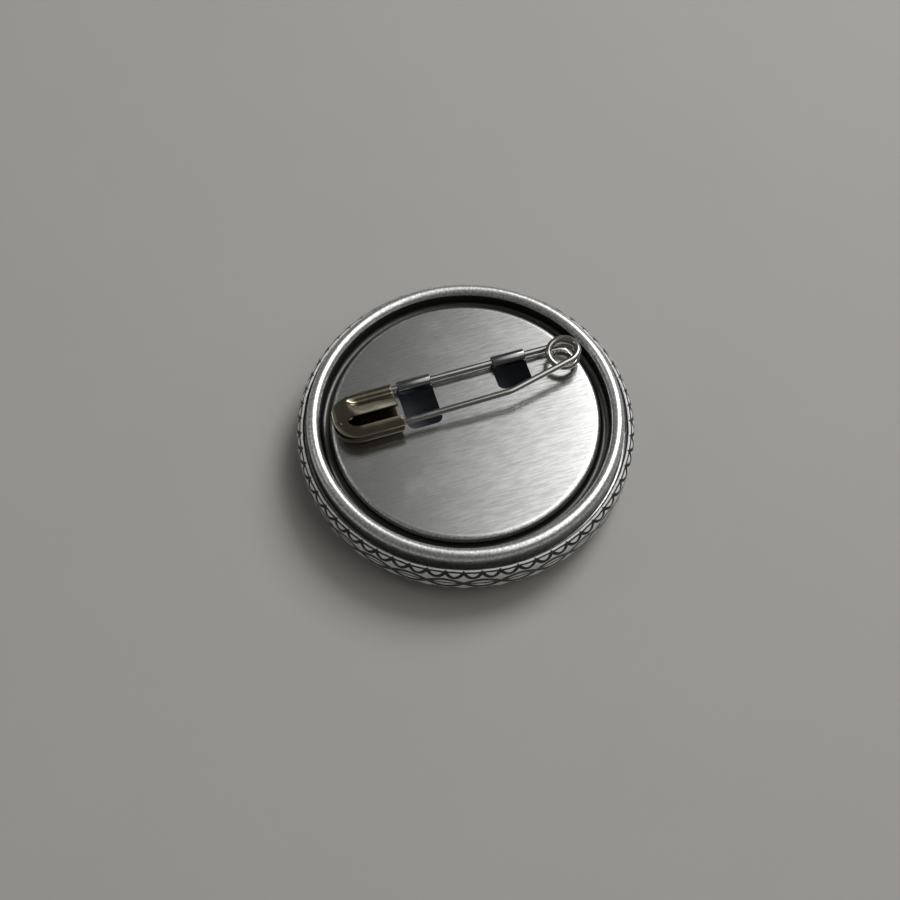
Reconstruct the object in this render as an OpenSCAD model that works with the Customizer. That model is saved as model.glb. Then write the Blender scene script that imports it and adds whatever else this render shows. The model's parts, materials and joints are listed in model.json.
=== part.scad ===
// Pin-back button badge, lying face down with its safety pin up.
// Frame: millimetres, origin under the middle of the front face, +Z up through the back plate,
// +X along the pin from its cap towards its coil, +Y towards the held leg.

/* [Badge body] */
// Widest diameter, over the film
badge_d = 32; // [20:0.5:60]
// Height from the front face to the crest of the rim bead
badge_h = 6.4; // [5:0.1:10]
// Radius of the flat middle of the front
front_flat_r = 9; // [4:0.5:12]
// Radius of the gentle dome round the flat middle
dome_r = 20; // [14:1:60]
// Radius of the front shoulder
shoulder_r = 2; // [1.2:0.1:4]
// Radius of the wall's inward curl at the back
curl_r = 1.1; // [1:0.05:1.6]
// Height of the middle of that curl
curl_z = 4.15; // [3:0.05:8]
// How far the wall curls in, in degrees
curl_a = 52; // [30:1:60]
// How far the print is tucked back inside the curl, in degrees
tuck_a = 45; // [20:1:50]

/* [Sheets] */
// Clear film
film_t = 0.1; // [0.05:0.01:0.2]
// Printed paper
paper_t = 0.12; // [0.08:0.01:0.3]
// Front shell sheet
shell_t = 0.22; // [0.18:0.01:0.4]
// Back plate sheet
plate_t = 0.22; // [0.18:0.01:0.4]

/* [Back plate] */
// How far the flat disc lies below the bead's crest
plate_drop = 0.8; // [0.3:0.05:1.5]
// Bend radius at the disc's edge, on the sheet's middle
edge_r = 0.4; // [0.3:0.02:0.8]
// Straight drop from that bend into the moat
moat_drop = 0.1; // [0:0.02:0.6]
// Radius of the moat's floor, on the sheet's middle
moat_r = 0.58; // [0.4:0.02:1]
// Radius of the rim bead, on the sheet's middle
bead_r = 0.5; // [0.4:0.02:1]
// Bend radius of the hidden flange, on the sheet's middle
flange_r = 0.25; // [0.2:0.01:0.5]

/* [Claws] */
// Width of a claw along the pin
claw_w = 3.2; // [2:0.1:4]
// Gap between the cap's mouth and the claw beside it
cap_claw_gap = 0.6; // [0.4:0.1:3]
// Gap between the coil and the claw beside it
coil_claw_gap = 1.72; // [0.5:0.02:5]
// Bend radius inside a claw's root
claw_bend = 0.1; // [0.05:0.01:0.3]
// How far a claw's tip comes down past the wire's middle
claw_tip = 0.45; // [0.1:0.05:0.5]
// Corner radius of a claw's tip
claw_tip_r = 0.4; // [0.05:0.05:0.5]
// Near edge of the window beside the cap
window_y1 = 0.1; // [-1:0.1:4]
// Near edge of the window beside the coil
window_y2 = 1.7; // [-1:0.1:4]
// Corner radius of the windows
window_r = 0.7; // [0.2:0.05:1.2]

/* [Pin wire] */
// Wire diameter
wire_d = 0.6; // [0.4:0.05:1]
// Held leg, distance from the badge's middle
leg_y = 4.45; // [3:0.05:8]
// How far the leg stops short of the curve of the cap's nose
leg_stop = 0.05; // [0:0.05:2]
// How far the coil reaches past the edge of the flat disc
coil_past = 0.58; // [-3:0.01:1]
// Radius of the coil on the wire's middle
coil_r = 1.38; // [0.9:0.02:2]
// Upright gap between turns of the coil
coil_gap = 0.444; // [0.43:0.002:1]
// Outward angle at which the arm leaves the coil
arm_splay = 13; // [8:1:25]
// Closed arm, distance from the badge's middle
arm_y = 0.25; // [0:0.05:2.5]
// Fall of the closed arm towards the cap, in degrees
arm_fall = 1.82; // [0:0.02:4]
// Bend radius of the arm
arm_bend = 4; // [2:0.5:8]
// Where the arm's point starts to taper, outside the cap's mouth
point_out = 0.7; // [-2:0.1:4]
// Tip of the arm's point, from the cap's nose
tip_stop = 1.55; // [1:0.05:3]
// Radius of the blunted tip
tip_r = 0.05; // [0.02:0.01:0.15]

/* [Pin cap] */
// Length of the cap
cap_l = 6.18; // [4:0.02:9]
// How far the cap's nose stops short of the edge of the flat disc
cap_short = 0.05; // [0:0.01:4]
// Sheet of the cap
cap_t = 0.22; // [0.15:0.01:0.4]
// How far the arm lies outside the middle of its lobe
lobe_shift = 0.48; // [0:0.02:0.8]
// Radius of the lobe round the arm, outside
lobe_r = 1.2; // [0.8:0.05:2]
// Corner radius of the nose at the arm's lobe
nose_r1 = 2.4; // [1:0.1:3]
// Corner radius of the nose at the leg's lobe
nose_r2 = 2.4; // [0.8:0.1:3]
// Corner radius of the nose seen from the side
nose_r3 = 0.9; // [0.4:0.05:1.1]
// How far the slot's edge lies outside the arm's middle
slot_past = 0.03; // [-0.1:0.01:0.3]
// Width of the slot
slot_w = 1.4; // [1:0.02:4]
// How far the slot's closed end lies past the arm's tip
slot_end = 0.25; // [0.2:0.01:1]
// Corner radius of the slot's closed end
slot_r = 0.5; // [0.1:0.05:1]

/* [Clearances] */
// Between wrapped layers
layer_gap = 0.02; // [0.01:0.01:0.1]
// Radial clearance of the leg in its claws
claw_gap = 0.05; // [0.02:0.01:0.1]
// Radial clearance of the leg in its cap
cap_gap = 0.02; // [0.01:0.01:0.1]
// Between the cap and the plate under it
cap_rest = 0.11; // [0.05:0.01:0.5]
// Between the plate's flange and the shell's wall
flange_gap = 0.04; // [0.02:0.01:0.2]
// Between the bead and the tucked lip
lip_gap = 0.18; // [0.05:0.01:0.4]
// Shear relief on each side of a claw in its window
claw_relief = 0.05; // [0.02:0.01:0.2]
// Between the coil's end and the arm's ball end
hinge_gap = 0.03; // [0.02:0.01:0.1]

/* [Hidden] */
$fn = 96;

badge_r = badge_d / 2;
wire_r = wire_d / 2;

// Depths of the layers under the film's outside
paper_o = film_t + layer_gap;
shell_o = paper_o + paper_t + layer_gap;
fold_o = shell_o + shell_t / 2;

// Middles of the arcs of the wall's profile, as [radius, height]
dome_c = [front_flat_r, dome_r];
shoulder_x = badge_r - shoulder_r - front_flat_r;
dome_end = -acos(shoulder_x / (dome_r - shoulder_r));
shoulder_c = dome_c + (dome_r - shoulder_r) * [cos(dome_end), sin(dome_end)];
curl_c = [badge_r - curl_r, curl_z];
fold_c = curl_c + (curl_r - fold_o) * [cos(curl_a), sin(curl_a)];

// Back plate, on the sheet's middle
plate_z = badge_h - plate_drop;
plate_m = plate_z - plate_t / 2;
bead_c = [fold_c[0] - fold_o - lip_gap - plate_t / 2 - bead_r, badge_h - plate_t / 2 - bead_r];
moat_c = [bead_c[0] - bead_r - moat_r, plate_m - edge_r - moat_drop];
disc_r = moat_c[0] - moat_r - edge_r;
flange_c = [bead_c[0] + bead_r + flange_r, curl_z - plate_t / 2 + flange_r];
flange_end = badge_r - shell_o - shell_t - flange_gap;

// Pin
leg_lobe_r = wire_r + cap_gap + cap_t;
leg_lift = leg_lobe_r + cap_rest;
leg_z = plate_z + leg_lift;
claw_in = wire_r + claw_gap;
claw_out = claw_in + plate_t;
claw_root = leg_y + claw_out + claw_bend;
coil_y = leg_y - coil_r;
coil_x = sqrt(pow(disc_r + coil_past, 2) - pow(coil_y, 2)) - coil_r - wire_r;
coil_c = [coil_x, coil_y];
coil_turn = 540 - arm_splay;
coil_rise = (wire_d + coil_gap) / eased(360 / coil_turn);
cap_nose_x = cap_short - disc_r;
cap_mouth_x = cap_nose_x + cap_l;
claw_x1 = cap_mouth_x + cap_claw_gap + claw_w / 2;
claw_x2 = coil_x - coil_r - wire_r - coil_claw_gap - claw_w / 2;
leg_start_x = coil_x - wire_d;
leg_end_x = cap_nose_x + nose_r2 + leg_stop;
point_x = cap_mouth_x + point_out;
tip_x = cap_nose_x + tip_stop;
coil_out = coil_c + coil_r * [sin(arm_splay), -cos(arm_splay)];
arm_dir = [-cos(arm_splay), -sin(arm_splay)];
coil_end = coil_out + wire_d * arm_dir;
hinge_p = coil_end + (wire_r + hinge_gap) * arm_dir;
hinge_z = leg_z + coil_rise;

// Arm in its own plane, from the hinge
arm_side = hinge_p[1] - arm_y;
bend_side = arm_bend * (1 - cos(arm_splay));
run_l = (arm_side - bend_side) / sin(arm_splay);
bend_start = run_l * arm_dir;
shank_start = [bend_start[0] - arm_bend * sin(arm_splay), -arm_side];
shank_l = shank_start[0] - (point_x - hinge_p[0]) / cos(arm_fall);
point_l = (point_x - tip_x) / cos(arm_fall);

// Cap, in its tilted frame, from the leg's middle: it leans with the arm at its mouth
mouth_rise = hinge_z - leg_z - (hinge_p[0] - cap_mouth_x) * tan(arm_fall);
cap_tilt = atan2(mouth_rise, leg_y - arm_y);
arm_reach = norm([mouth_rise, leg_y - arm_y]);
lobe_gap = arm_reach - lobe_shift;
lobe_lean = asin((lobe_r - leg_lobe_r) / lobe_gap);
slot_out = arm_reach + slot_past;
slot_in = slot_out - slot_w;
slot_end_x = tip_x - slot_end;

// How far cutters reach past what they cut
over = 1;

// Points of an arc without its first one
function arc(c, r, a0, a1, n) =
    [for (i = [1:n]) c + r * [cos(a0 + (a1 - a0) * i / n), sin(a0 + (a1 - a0) * i / n)]];

function reversed(list) = [for (i = [len(list) - 1:-1:0]) list[i]];

// The wall's profile at depth o under the film's outside
function skin(o) = concat(
    [[0, o], [front_flat_r, o]],
    arc(dome_c, dome_r - o, -90, dome_end, 8),
    arc(shoulder_c, shoulder_r - o, dome_end, 0, 8),
    [[badge_r - o, curl_z]],
    arc(curl_c, curl_r - o, 0, curl_a, 6));

// The same profile carried round the shell's lip and tucked in behind it
function wrapped(o) = concat(
    skin(o),
    arc(fold_c, fold_o - o, curl_a, curl_a + 180, 8),
    arc(curl_c, curl_r - 2 * fold_o + o, curl_a, curl_a - tuck_a, 4));

// The back plate's profile at height o over the sheet's middle
function plate_line(o) = concat(
    [[0, plate_m + o], [disc_r, plate_m + o]],
    arc([disc_r, plate_m - edge_r], edge_r + o, 90, 0, 6),
    [[moat_c[0] - moat_r + o, moat_c[1]]],
    arc(moat_c, moat_r - o, 180, 360, 10),
    [[bead_c[0] - bead_r - o, bead_c[1]]],
    arc(bead_c, bead_r + o, 180, 0, 12),
    [[flange_c[0] - flange_r + o, flange_c[1]]],
    arc(flange_c, flange_r - o, 180, 270, 5),
    [[flange_end, flange_c[1] - flange_r + o]]);

module turned(outer, inner) {
    rotate_extrude() polygon(concat(outer, reversed(inner)));
}

// Tongue outline, from y0 up to y1, with round corners only at y0
module tongue(w, y0, y1, r) {
    polygon(concat(
        [[w / 2, y1], [-w / 2, y1], [-w / 2, y0 + r]],
        arc([-w / 2 + r, y0 + r], r, 180, 270, 6),
        [[w / 2 - r, y0]],
        arc([w / 2 - r, y0 + r], r, 270, 360, 6)));
}

// Section of a claw, as [y, z]: foot, bend, far side, roll over the wire
module claw_section() {
    c = [leg_y, leg_z];
    bend_c = [claw_root, plate_z + claw_bend];
    translate([claw_root, plate_z - plate_t]) square(plate_t);
    intersection() {
        translate(bend_c) difference() {
            circle(claw_bend + plate_t);
            circle(claw_bend);
        }
        translate(bend_c - [over, over]) square(over);
    }
    translate([leg_y + claw_in, plate_z + claw_bend]) square([plate_t, leg_lift - claw_bend]);
    intersection() {
        translate(c) difference() {
            circle(claw_out);
            circle(claw_in);
        }
        translate(c - [over, 0]) square([2 * over, over]);
    }
}

module claw(x) {
    translate([x, 0, 0]) rotate([90, 0, 90]) linear_extrude(claw_w, center = true) claw_section();
    translate([x, leg_y - claw_in, leg_z]) rotate([90, 0, 0]) linear_extrude(plate_t)
        tongue(claw_w, -claw_tip, 0, min(claw_tip_r, claw_tip));
}

// Tube through the points of path with a radius at each, n sides, flat ends
module tube(path, radii, n) {
    m = len(path);
    ways = [for (i = [0:m - 1]) let (d = path[min(i + 1, m - 1)] - path[max(i - 1, 0)]) d / norm(d)];
    sides = [for (w = ways) let (s = cross([0, 0, 1], w)) s / norm(s)];
    points = [for (i = [0:m - 1]) for (k = [0:n - 1])
        path[i] + radii[i] * (cos(360 * k / n) * sides[i] + sin(360 * k / n) * cross(ways[i], sides[i]))];
    walls = [for (i = [0:m - 2]) for (k = [0:n - 1]) for (h = [0, 1])
        let (a = i * n + k, b = i * n + (k + 1) % n)
        h == 0 ? [a, a + n, b + n] : [a, b + n, b]];
    ends = [[for (k = [0:n - 1]) k], [for (k = [n - 1:-1:0]) (m - 1) * n + k]];
    polyhedron(points, concat(walls, ends));
}

// Smooth rise from 0 to 1
function eased(u) = u * u * (3 - 2 * u);

function coil_point(a) = [
    coil_c[0] + coil_r * sin(a),
    coil_c[1] + coil_r * cos(a),
    leg_z + coil_rise * eased(a / coil_turn)];

// Facets of the wire's bent stretches
wire_sides = 14;
coil_steps = 36;
coil_curve = [for (i = [0:coil_steps]) coil_point(coil_turn * i / coil_steps)];
coil_path = concat(
    [[leg_start_x, leg_y, leg_z], [coil_x - wire_d / 3, leg_y, leg_z]],
    coil_curve,
    [for (f = [1 / 2, 1]) [coil_out[0] + f * wire_d * arm_dir[0], coil_out[1] + f * wire_d * arm_dir[1],
                           hinge_z]]);

// Least gap of the coil to itself, between points at least half a turn apart, in steps of 4 degrees
gap_step = 4;
coil_self_gap = min([for (a = [0:gap_step:coil_turn]) for (b = [a + 180:gap_step:coil_turn])
    norm(coil_point(a) - coil_point(b))]) - wire_d;
echo(coil_turns = coil_turn / 360, coil_self_gap = coil_self_gap);

// The arm's curved end, from its ball at the hinge into the straight shank
ball_angles = [8:16.4:90];
arm_path = concat(
    [for (a = ball_angles) [-wire_r * cos(a) * arm_dir[0], -wire_r * cos(a) * arm_dir[1], 0]],
    [for (f = [0.5, 1]) [f * bend_start[0], f * bend_start[1], 0]],
    [for (p = arc(bend_start + arm_bend * [-sin(arm_splay), cos(arm_splay)],
                  arm_bend, 270 + arm_splay, 270, 6)) [p[0], p[1], 0]]);
// The bent stretch is a touch slimmer than the shank, so that it ends inside it
bend_share = 0.985;
ball_radii = [for (a = ball_angles) wire_r * sin(a)];
arm_radii = concat(ball_radii, [for (i = [len(ball_radii):len(arm_path)]) wire_r]);

// Solid of the cap, inset by g from its outside, open past the mouth when mouth is larger
module cap_solid(g, mouth) {
    h = lobe_r - g;
    nose = cap_nose_x + g;
    far = leg_lobe_r - g;
    near = -lobe_gap - lobe_r + g;
    c1 = [cap_nose_x + nose_r1, -lobe_gap - lobe_r + nose_r1];
    c2 = [cap_nose_x + nose_r2, leg_lobe_r - nose_r2];
    intersection() {
        translate([cap_nose_x - over, 0, 0]) rotate([90, 0, 90]) linear_extrude(mouth - cap_nose_x + over)
            polygon(concat(
                arc([0, 0], leg_lobe_r - g, lobe_lean - 90, 90 - lobe_lean, 10),
                [(lobe_r - g) * [sin(lobe_lean), cos(lobe_lean)] - [lobe_gap, 0]],
                arc([-lobe_gap, 0], lobe_r - g, 90 - lobe_lean, 270 + lobe_lean, 16),
                [(leg_lobe_r - g) * [sin(lobe_lean), -cos(lobe_lean)]]));
        translate([0, 0, -lobe_r - over]) linear_extrude(2 * (lobe_r + over))
            polygon(concat(
                [[mouth + over, near], [mouth + over, far], [c2[0], far]],
                arc(c2, nose_r2 - g, 90, 180, 8),
                [[nose, c1[1]]],
                arc(c1, nose_r1 - g, 180, 270, 10)));
        translate([0, leg_lobe_r + over, 0]) rotate([90, 0, 0])
            linear_extrude(leg_lobe_r + lobe_gap + lobe_r + 2 * over)
            polygon(concat(
                [[mouth + over, -h], [mouth + over, h], [cap_nose_x + nose_r3, h]],
                arc([cap_nose_x + nose_r3, lobe_r - nose_r3], nose_r3 - g, 90, 180, 6),
                [[nose, nose_r3 - lobe_r]],
                arc([cap_nose_x + nose_r3, nose_r3 - lobe_r], nose_r3 - g, 180, 270, 6)));
    }
}

module front_shell() {
    color([0.72, 0.73, 0.74]) turned(skin(shell_o), skin(shell_o + shell_t));
}

module artwork_disc() {
    color([0.94, 0.94, 0.92]) turned(wrapped(paper_o), wrapped(paper_o + paper_t));
}

module clear_film() {
    color([0.9, 0.93, 0.95, 0.35]) turned(wrapped(0), wrapped(film_t));
}

module back_plate() {
    color([0.75, 0.76, 0.77]) {
        difference() {
            turned(plate_line(plate_t / 2), plate_line(-plate_t / 2));
            for (w = [[claw_x1, window_y1], [claw_x2, window_y2]])
                translate([w[0], 0, plate_z - plate_t - over]) linear_extrude(plate_t + 2 * over)
                    tongue(claw_w + 2 * claw_relief, w[1], claw_root, window_r);
        }
        claw(claw_x1);
        claw(claw_x2);
    }
}

module pin_leg() {
    color([0.78, 0.77, 0.74]) translate([leg_end_x, leg_y, leg_z]) rotate([0, 90, 0])
        cylinder(h = leg_start_x - leg_end_x, r = wire_r);
}

module pin_coil() {
    color([0.78, 0.77, 0.74]) tube(coil_path, [for (p = coil_path) wire_r], wire_sides);
}

module pin_arm() {
    color([0.78, 0.77, 0.74]) translate([hinge_p[0], hinge_p[1], hinge_z]) rotate([0, -arm_fall, 0]) {
        tube(concat(arm_path, [[shank_start[0] - wire_d, shank_start[1], 0]]), arm_radii * bend_share,
             wire_sides);
        translate([shank_start[0], shank_start[1], 0]) rotate([0, -90, 0]) rotate_extrude()
            polygon([[0, 0], [wire_r, 0], [wire_r, shank_l], [tip_r, shank_l + point_l - tip_r],
                     [0, shank_l + point_l]]);
    }
}

module pin_cap() {
    color([0.7, 0.67, 0.6]) translate([0, leg_y, leg_z]) rotate([-cap_tilt, 0, 0]) difference() {
        cap_solid(0, cap_mouth_x);
        cap_solid(cap_t, cap_mouth_x + over);
        linear_extrude(lobe_r + over)
            polygon(concat(
                [[cap_mouth_x + over, -slot_out], [cap_mouth_x + over, -slot_in]],
                [[slot_end_x + slot_r, -slot_in]],
                arc([slot_end_x + slot_r, -slot_in - slot_r], slot_r, 90, 180, 6),
                [[slot_end_x, -slot_out + slot_r]],
                arc([slot_end_x + slot_r, -slot_out + slot_r], slot_r, 180, 270, 6)));
    }
}

front_shell();
artwork_disc();
clear_film();
back_plate();
pin_leg();
pin_coil();
pin_arm();
pin_cap();
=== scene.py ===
"""Looks of a pin-back button badge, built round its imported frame.

The badge lies face down with its safety pin up. Lengths are metres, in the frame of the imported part:
+X runs along the pin from its cap to its coil, +Y towards the held leg, +Z up through the back plate.
"""

import json
import math

import bmesh
import bpy
import numpy as np
from bpy.props import FloatProperty, FloatVectorProperty, IntProperty, PointerProperty
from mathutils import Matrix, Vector


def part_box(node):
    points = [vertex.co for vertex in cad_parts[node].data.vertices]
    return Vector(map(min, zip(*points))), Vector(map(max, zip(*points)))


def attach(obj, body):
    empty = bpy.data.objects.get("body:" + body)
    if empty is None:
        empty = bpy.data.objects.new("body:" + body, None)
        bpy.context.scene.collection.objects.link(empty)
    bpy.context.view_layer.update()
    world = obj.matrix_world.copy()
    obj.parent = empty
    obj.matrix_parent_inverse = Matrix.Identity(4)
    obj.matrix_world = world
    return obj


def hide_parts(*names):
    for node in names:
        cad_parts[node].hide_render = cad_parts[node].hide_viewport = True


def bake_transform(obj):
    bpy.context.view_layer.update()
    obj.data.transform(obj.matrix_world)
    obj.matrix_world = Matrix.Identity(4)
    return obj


bl_info = {
    "name": "Button badge",
    "version": (1, 0, 0),
    "blender": (4, 5, 0),
    "location": "View3D > Sidebar > Badge",
    "description": "Makes the print, film, back plate and safety pin of a button badge",
    "category": "Object",
}

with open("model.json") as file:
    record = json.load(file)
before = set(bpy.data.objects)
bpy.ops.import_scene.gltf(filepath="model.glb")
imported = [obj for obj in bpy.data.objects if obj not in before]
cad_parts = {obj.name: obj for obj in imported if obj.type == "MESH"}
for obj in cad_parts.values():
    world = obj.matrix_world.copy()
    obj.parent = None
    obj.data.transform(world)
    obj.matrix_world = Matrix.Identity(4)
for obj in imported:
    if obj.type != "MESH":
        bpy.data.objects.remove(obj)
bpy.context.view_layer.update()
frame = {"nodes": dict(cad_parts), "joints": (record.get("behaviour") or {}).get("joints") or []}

MM = 0.001
TURN = 2 * math.pi
MERGE = 1e-8

# Steps of the meshes
WRAP_STEPS = 320
PLATE_STEPS = 360
WIRE_SIDES = 24
CAP_COLUMNS = 200

# Puckers of the wrap
PUCKER_SEED = 11
PUCKER_WAVES = 9
PUCKER_COUNTS = 37, 131

# Floor and room
FLOOR_HALF = 2.0
FLOOR_GAP = 0.04 * MM
BRIGHT_SIDE = 0.85, 0.0, 0.53
SIDE_EDGES = 0.54, 0.72
HEIGHT_EDGES = 0.55, 0.93
ROOM_TONE = 1.0, 0.99, 0.97, 1.0


# Properties

def number(name, value, description, **more):
    """A number of zero or more."""
    return FloatProperty(name=name, description=description, default=value, min=0.0, **more)


def length(name, millimetres, description):
    """A length, given in millimetres and kept in metres."""
    return number(name, millimetres * MM, description, precision=6, subtype="DISTANCE", unit="LENGTH")


def angle(name, degrees, description):
    """An angle, given in degrees and kept in radians."""
    return FloatProperty(
        name=name, description=description, default=math.radians(degrees), subtype="ANGLE", unit="ROTATION",
    )


def colour(name, value, description):
    """A linear colour of a surface."""
    return FloatVectorProperty(
        name=name, description=description, default=value, size=3, min=0.0, max=1.0, subtype="COLOR",
    )


class BadgeWrap(bpy.types.PropertyGroup):
    """Sizes of the print and the film wrapped over the shell."""

    badge_r: length("Badge radius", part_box("clear_film")[1].x / MM, "Widest radius, over the film")
    flat_r: length("Flat radius", 9.0, "Flat middle of the front")
    dome_r: length("Dome radius", 20.0, "Gentle dome round the flat middle")
    shoulder_r: length("Shoulder radius", 2.0, "Round from the front into the wall")
    curl_r: length("Curl radius", 1.1, "Inward curl of the wall at the back")
    curl_z: length("Curl height", 4.15, "Height of the middle of that curl")
    curl_a: angle("Curl angle", 52.0, "How far the wall curls in")
    tuck_a: angle("Tuck angle", 45.0, "How far the print is tucked back inside the curl")
    film_t: length("Film", 0.1, "Thickness of the clear film")
    paper_t: length("Paper", 0.12, "Thickness of the printed paper")
    shell_t: length("Shell", 0.22, "Thickness of the shell's sheet")
    layer_gap: length("Layer gap", 0.02, "Between wrapped layers")
    pucker: length("Pucker", 0.035, "Height of the puckers where the wrap is gathered in")


class BadgePlate(bpy.types.PropertyGroup):
    """Sizes of the back plate and its claws."""

    badge_h: length("Badge height", 6.4, "Crest of the rim bead over the front face")
    sheet: length("Sheet", 0.22, "Thickness of the plate")
    drop: length("Disc drop", 0.8, "How far the flat disc lies below the bead's crest")
    edge_r: length("Edge radius", 0.4, "Bend at the disc's edge, on the sheet's middle")
    moat_drop: length("Moat drop", 0.1, "Straight drop from that bend into the moat")
    moat_r: length("Moat radius", 0.58, "Floor of the moat, on the sheet's middle")
    bead_r: length("Bead radius", 0.5, "Rim bead, on the sheet's middle")
    flange_r: length("Flange radius", 0.25, "Bend of the hidden flange, on the sheet's middle")
    lip_gap: length("Lip gap", 0.18, "Between the bead and the tucked wrap")
    claw_w: length("Claw width", 3.2, "Width of a claw along the pin")
    claw_bend: length("Claw bend", 0.1, "Bend inside a claw's root")
    claw_gap: length("Claw gap", 0.05, "Clearance of the leg in its claws")
    claw_tip: length("Claw tip", 0.45, "How far a claw comes down past the wire's middle")
    claw_tip_r: length("Tip corner", 0.4, "Corner radius of a claw's tip")
    cap_claw_gap: length("Cap to claw", 0.6, "Between the cap's mouth and the claw beside it")
    coil_claw_gap: length("Coil to claw", 1.72, "Between the coil and the claw beside it")
    cap_window: length("Cap window", 0.1, "Near edge of the window beside the cap, from the middle")
    coil_window: length("Coil window", 1.7, "Near edge of the window beside the coil, from the middle")
    window_r: length("Window corner", 0.7, "Corner radius of the windows")
    relief: length("Claw relief", 0.05, "Shear relief on each side of a claw")
    cut_edge: length("Cut edge", 0.03, "Worn edge of the windows")


class BadgePin(bpy.types.PropertyGroup):
    """Sizes of the safety pin."""

    coil_r: length("Coil radius", 1.38, "Coil on the wire's middle")
    splay: angle("Arm splay", 13.0, "Outward angle at which the arm leaves the coil")
    fall: angle("Arm fall", 1.82, "Fall of the closed arm towards the cap")
    arm_y: length("Arm place", 0.25, "Closed arm, from the badge's middle")
    arm_bend: length("Arm bend", 4.0, "Bend radius of the arm")
    point_out: length("Point start", 0.7, "Where the point starts to taper, outside the cap's mouth")
    tip_r: length("Tip radius", 0.04, "Blunted tip of the point")
    cap_t: length("Cap sheet", 0.22, "Thickness of the cap")
    cap_gap: length("Cap gap", 0.02, "Clearance of the leg in its cap")
    lobe_r: length("Lobe radius", 1.2, "Lobe of the cap round the arm, outside")
    lobe_shift: length("Lobe shift", 0.48, "How far the arm lies outside the middle of its lobe")
    nose_arm_r: length("Nose at the arm", 2.4, "Corner of the nose at the arm's lobe")
    nose_leg_r: length("Nose at the leg", 2.4, "Corner of the nose at the leg's lobe")
    nose_side_r: length("Nose from the side", 0.9, "Corner of the nose seen from the side")
    slot_past: length("Slot edge", 0.03, "How far the slot's edge lies outside the arm's middle")
    slot_w: length("Slot width", 1.4, "Opening along the top of the cap")
    slot_end: length("Slot end", 0.25, "How far the slot goes on past the arm's tip")
    slot_r: length("Slot round", 0.9, "Length of the slot's rounded end")
    valley_r: length("Valley round", 0.3, "Hollow round beside the leg's lobe")
    valley_l: length("Valley end", 1.4, "Length over which the valley fades out at the nose")
    rolled_edge: length("Rolled edge", 0.06, "Rounding of the cap's cut edges")


class BadgeFinish(bpy.types.PropertyGroup):
    """Colours and the design of the print."""

    tin: colour("Tinplate", (0.70, 0.71, 0.705), "Back plate")
    # Painted shade: near black, blended into the moat and up the bead's inner side, where shade falls.
    tarnish: colour("Tarnish", (0.045, 0.043, 0.04), "Deep places of the back plate")
    wire: colour("Wire", (0.46, 0.45, 0.425), "Plated wire")
    cap: colour("Cap", (0.26, 0.228, 0.172), "Plated cap, dark and a little warm")
    shell: colour("Shell", (0.60, 0.66, 0.74), "Dull inside of the front shell")
    paper: colour("Paper", (0.84, 0.835, 0.815), "White of the print")
    ink: colour("Ink", (0.007, 0.007, 0.008), "Lines of the print")
    film: colour("Film", (0.32, 0.34, 0.36), "Clear film, where it catches the light")
    floor: colour("Floor", (0.44, 0.43, 0.41), "Plain pale floor")
    waves: IntProperty(name="Waves", description="Waves of the leaf border", default=15, min=4, max=60)
    petals: IntProperty(name="Petals", description="Petals of the front's rosette", default=12, min=4, max=40)


class BadgeStudio(bpy.types.PropertyGroup):
    """Camera and light."""

    azimuth: angle("Azimuth", -17.5, "Turn of the camera round the badge")
    elevation: angle("Elevation", 59.85, "Height of the camera over the floor, seen from the badge")
    distance: length("Distance", 109.0, "From the camera to the badge's middle")
    focal_px: number("Focal length", 1167.0, "In pixels of the picture")
    picture_px: IntProperty(name="Picture", description="Width of the picture in pixels", default=900)
    middle_x: number("Middle x", 465.3, "Pixel of the badge's middle")
    middle_y: number("Middle y", 416.0, "Pixel of the badge's middle")
    key: number("Key light", 1.2, "Power of the large lamp", unit="POWER")
    fill: number("Fill light", 0.06, "Power of the small lamp", unit="POWER")
    room_dark: number("Dark side", 0.11, "Level of the room at the left")
    room_light: number("Light side", 1.5, "Level of the room at the right")


# Surfaces

def heading(a):
    """Directions at angles: their cosine and sine."""
    return np.stack([np.cos(a), np.sin(a)], -1)


def unit(vectors):
    """Vectors divided by their lengths."""
    return vectors / np.linalg.norm(vectors, axis=-1, keepdims=True)


def arc(centre, radius, start, end, steps):
    """Points of an arc: the centre plus the radius times the headings of evenly spaced angles."""
    return np.asarray(centre) + radius * heading(np.linspace(start, end, steps + 1))


def line(start, end, steps=1):
    """Evenly spaced points from start to end."""
    return np.linspace(start, end, steps + 1)


def chain(*runs):
    """Runs of points laid end to end, without a point that repeats the one before it."""
    points = np.concatenate(runs)
    steps = np.linalg.norm(np.diff(points, axis=0), axis=1)
    return points[np.concatenate([[True], steps > MERGE])]


def smooth(x):
    """Rises from 0 to 1 as x does, level at both ends: three x squared less two x cubed."""
    x = np.clip(x, 0.0, 1.0)
    return x * x * (3 - 2 * x)


def along(points):
    """Distance of each point along its run."""
    return np.concatenate([[0.0], np.cumsum(np.linalg.norm(np.diff(points, axis=0), axis=1))])


def revolve(profile, steps):
    """A profile of [radius, height] turned upright: each point goes round a circle of its radius."""
    a = np.linspace(0, TURN, steps, endpoint=False)
    r, z = profile[:, :1], profile[:, 1:]
    return np.stack([r * np.cos(a), r * np.sin(a), z + 0 * a], -1)


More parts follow.
